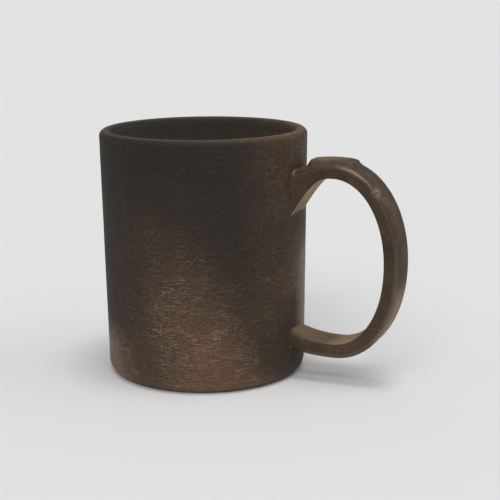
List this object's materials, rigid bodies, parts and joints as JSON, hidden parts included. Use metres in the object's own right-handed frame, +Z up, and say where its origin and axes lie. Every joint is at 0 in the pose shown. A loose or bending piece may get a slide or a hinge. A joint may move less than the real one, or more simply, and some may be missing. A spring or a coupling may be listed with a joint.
{
  "type": "coffee mug",
  "caption": "Straight-sided open mug in a dark fibre composite with a rounded lip, and a flat loop handle with a thumb rest, bonded to the wall.",
  "frame": {"origin": "centre of the foot ring on the cup's axis, on the plane that the mug rests on", "axes": "+Z up along the cup's axis, +X along the handle"},
  "size_m": [0.1237, 0.082, 0.0972],
  "materials": {
    "composite": "satin, dark brown, with a fine fibrous grain",
    "bond": "satin, dark brown"
  },
  "bodies": {
    "root": {"cup_body": "composite", "handle": "composite", "thumb_rest": "composite", "upper_handle_bond": "bond", "lower_handle_bond": "bond"}
  },
  "joints": []
}
